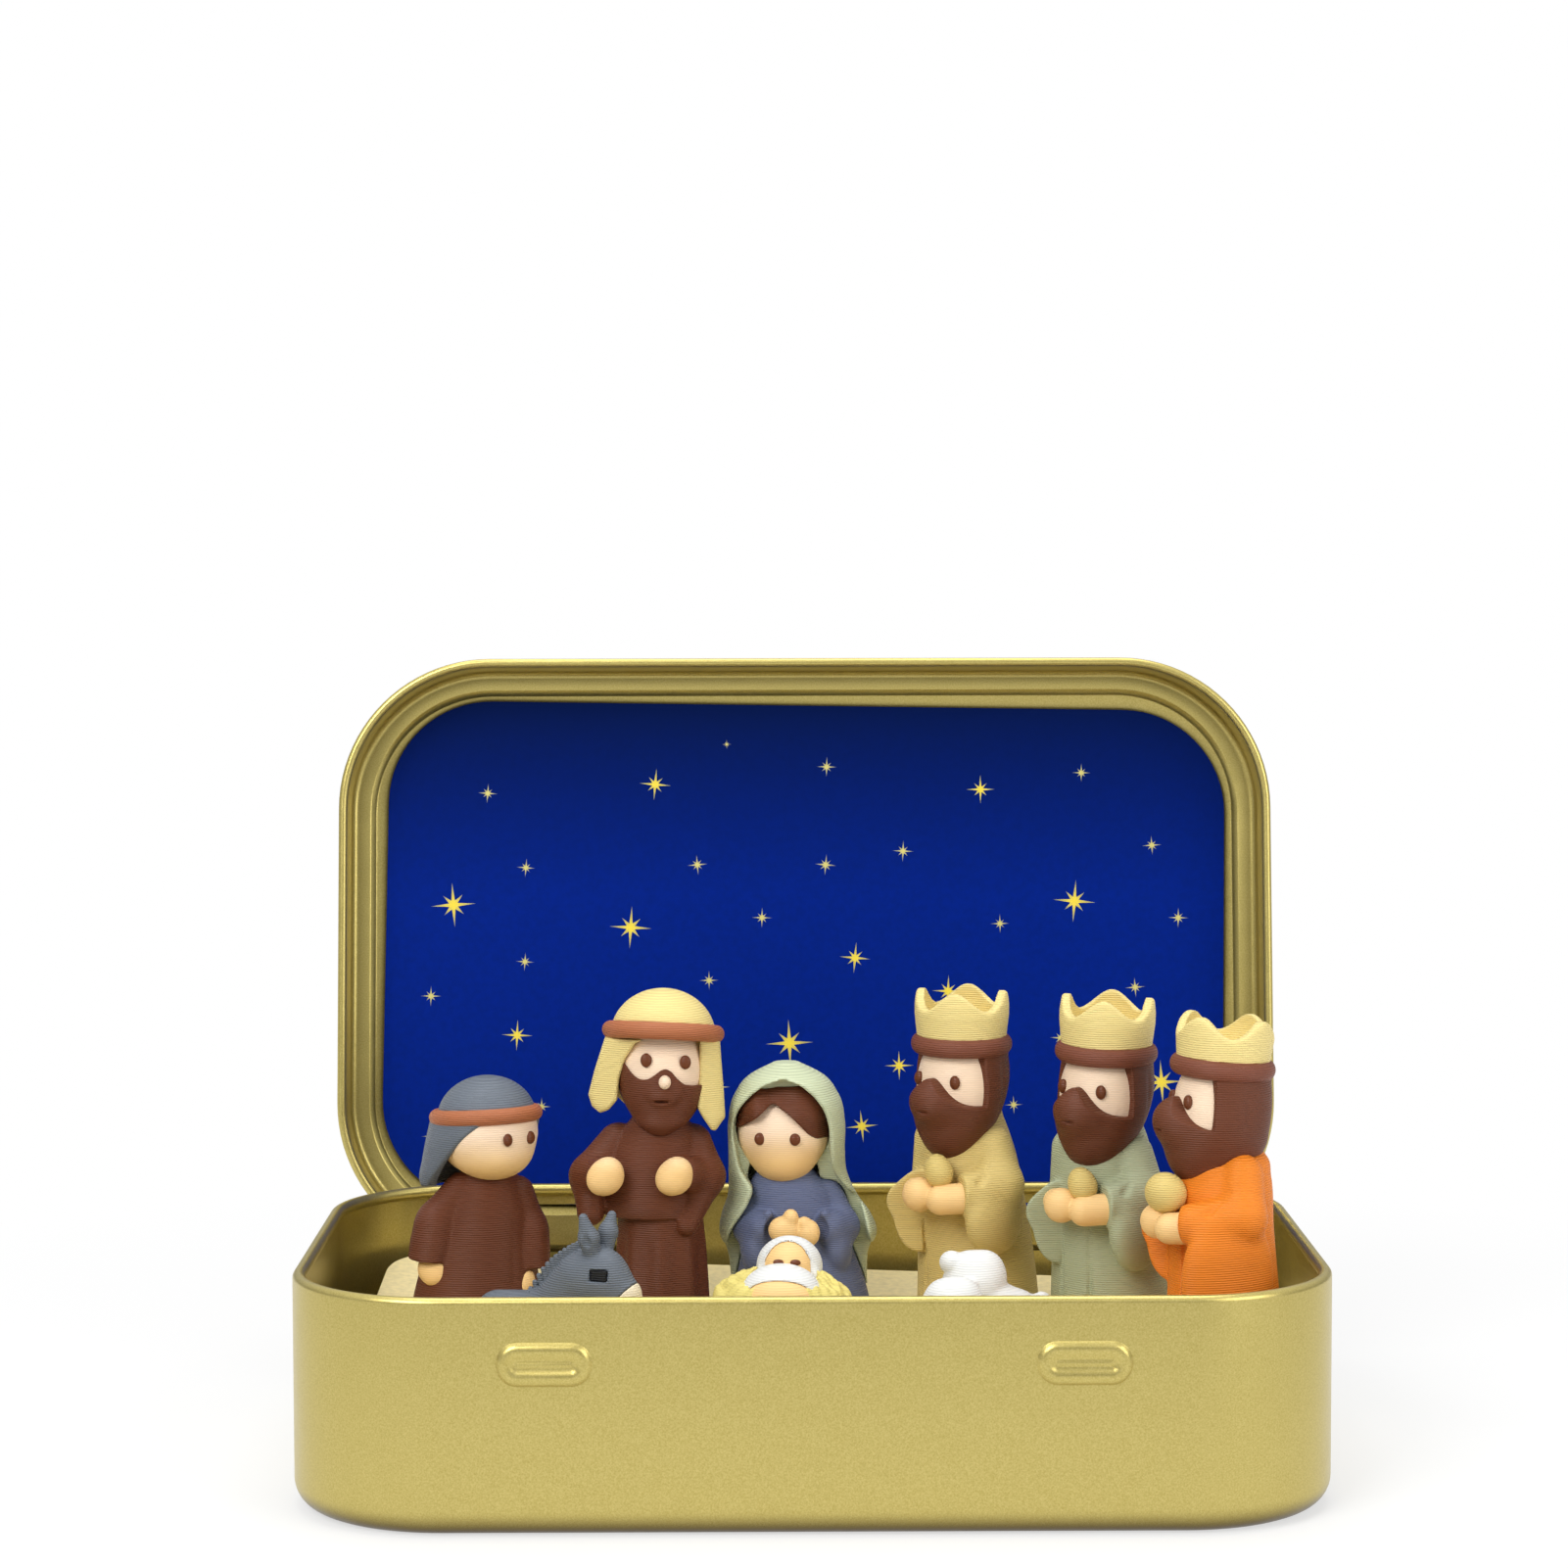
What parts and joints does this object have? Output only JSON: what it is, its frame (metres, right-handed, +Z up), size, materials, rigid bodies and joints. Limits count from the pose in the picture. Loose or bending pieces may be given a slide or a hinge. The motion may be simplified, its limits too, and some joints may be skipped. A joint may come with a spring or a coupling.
{
  "type": "pocket nativity tin",
  "caption": "Hinged pocket tin with a starry card in its lid and a small nativity scene of loose printed figures standing on a card stage inside",
  "frame": {"origin": "Centre of the flat underside of the tin base, the mount foot.", "axes": "+X along the tin's length, to the right of someone facing the open tin; +Y from the front towards the hinge; +Z up"},
  "size_m": [0.0972, 0.0748, 0.0752],
  "materials": {
    "gold_tin": "satin, faintly speckled gold lacquer on sheet steel",
    "blue_card": "printed deep blue, scattered with small yellow stars",
    "cream_card": "plain matte card",
    "brown_plastic": "printed, fine layer lines",
    "band_plastic": "printed, fine layer lines",
    "pale_yellow_plastic": "printed, fine layer lines",
    "skin_plastic": "printed, fine layer lines",
    "slate_plastic": "printed, fine layer lines",
    "slate_blue_plastic": "printed, fine layer lines",
    "sage_plastic": "printed, fine layer lines",
    "tan_plastic": "printed, fine layer lines",
    "green_plastic": "printed, fine layer lines",
    "orange_plastic": "printed, fine layer lines",
    "dull_gold_plastic": "printed, fine layer lines",
    "hay_plastic": "printed, fuzzy skin like straw",
    "white_plastic": "printed, fine layer lines",
    "cream_plastic": "printed, fine layer lines"
  },
  "bodies": {
    "tin": {"tin_base": "gold_tin"},
    "lid": {"tin_lid": "gold_tin", "star_card": "blue_card"},
    "stage": {"stage_card": "cream_card"},
    "shepherd": {"shepherd_robe": "brown_plastic", "shepherd_head": "skin_plastic", "shepherd_scarf_drape": "slate_plastic", "shepherd_scarf_crown": "slate_plastic", "shepherd_headband": "band_plastic", "shepherd_right_hand": "skin_plastic", "shepherd_left_hand": "skin_plastic"},
    "father": {"father_robe": "brown_plastic", "father_head": "skin_plastic", "father_beard": "brown_plastic", "father_scarf_drape": "pale_yellow_plastic", "father_scarf_crown": "pale_yellow_plastic", "father_headband": "band_plastic", "father_right_hand": "skin_plastic", "father_left_hand": "skin_plastic"},
    "mother": {"mother_robe": "slate_blue_plastic", "mother_head": "skin_plastic", "mother_hair": "brown_plastic", "mother_veil": "sage_plastic", "mother_hands": "skin_plastic"},
    "tan_king": {"tan_king_robe": "tan_plastic", "tan_king_head": "skin_plastic", "tan_king_hair_and_beard": "brown_plastic", "tan_king_headband": "band_plastic", "tan_king_crown": "pale_yellow_plastic", "tan_king_hands": "skin_plastic", "tan_king_gift": "dull_gold_plastic"},
    "green_king": {"green_king_robe": "green_plastic", "green_king_head": "skin_plastic", "green_king_hair_and_beard": "brown_plastic", "green_king_headband": "band_plastic", "green_king_crown": "pale_yellow_plastic", "green_king_hands": "skin_plastic", "green_king_gift": "dull_gold_plastic"},
    "orange_king": {"orange_king_robe": "orange_plastic", "orange_king_head": "skin_plastic", "orange_king_hair_and_beard": "brown_plastic", "orange_king_headband": "band_plastic", "orange_king_crown": "pale_yellow_plastic", "orange_king_hands": "skin_plastic", "orange_king_gift": "dull_gold_plastic"},
    "donkey": {"donkey_body": "slate_plastic", "donkey_muzzle": "cream_plastic"},
    "manger": {"manger_crib": "brown_plastic", "manger_hay": "hay_plastic"},
    "baby": {"baby_body": "skin_plastic", "baby_cloth": "white_plastic", "baby_cap": "white_plastic"},
    "left_sheep": {"left_sheep": "white_plastic"},
    "right_sheep": {"right_sheep": "white_plastic"}
  },
  "joints": [
    {"name": "lid_hinge", "type": "hinge", "parent": "tin", "child": "lid", "pos_m": [0, 0.02958, 0.01545], "axis": [-1, 0, 0], "range_deg": [-48, 0]},
    {"name": "stage_lift", "type": "slide", "parent": "tin", "child": "stage", "axis": [0, 0, 1], "range_m": [0, 0.06]},
    {"name": "shepherd_lift", "type": "slide", "parent": "stage", "child": "shepherd", "axis": [0, 0, 1], "range_m": [0, 0.05]},
    {"name": "father_lift", "type": "slide", "parent": "stage", "child": "father", "axis": [0, 0, 1], "range_m": [0, 0.05]},
    {"name": "mother_lift", "type": "slide", "parent": "stage", "child": "mother", "axis": [0, 0, 1], "range_m": [0, 0.05]},
    {"name": "tan_king_lift", "type": "slide", "parent": "stage", "child": "tan_king", "axis": [0, 0, 1], "range_m": [0, 0.05]},
    {"name": "green_king_lift", "type": "slide", "parent": "stage", "child": "green_king", "axis": [0, 0, 1], "range_m": [0, 0.05]},
    {"name": "orange_king_lift", "type": "slide", "parent": "stage", "child": "orange_king", "axis": [0, 0, 1], "range_m": [0, 0.05]},
    {"name": "donkey_lift", "type": "slide", "parent": "stage", "child": "donkey", "axis": [0, 0, 1], "range_m": [0, 0.05]},
    {"name": "manger_lift", "type": "slide", "parent": "stage", "child": "manger", "axis": [0, 0, 1], "range_m": [0, 0.05]},
    {"name": "baby_lift", "type": "slide", "parent": "manger", "child": "baby", "axis": [0, 0, 1], "range_m": [0, 0.03]},
    {"name": "left_sheep_lift", "type": "slide", "parent": "stage", "child": "left_sheep", "axis": [0, 0, 1], "range_m": [0, 0.05]},
    {"name": "right_sheep_lift", "type": "slide", "parent": "stage", "child": "right_sheep", "axis": [0, 0, 1], "range_m": [0, 0.05]}
  ]
}
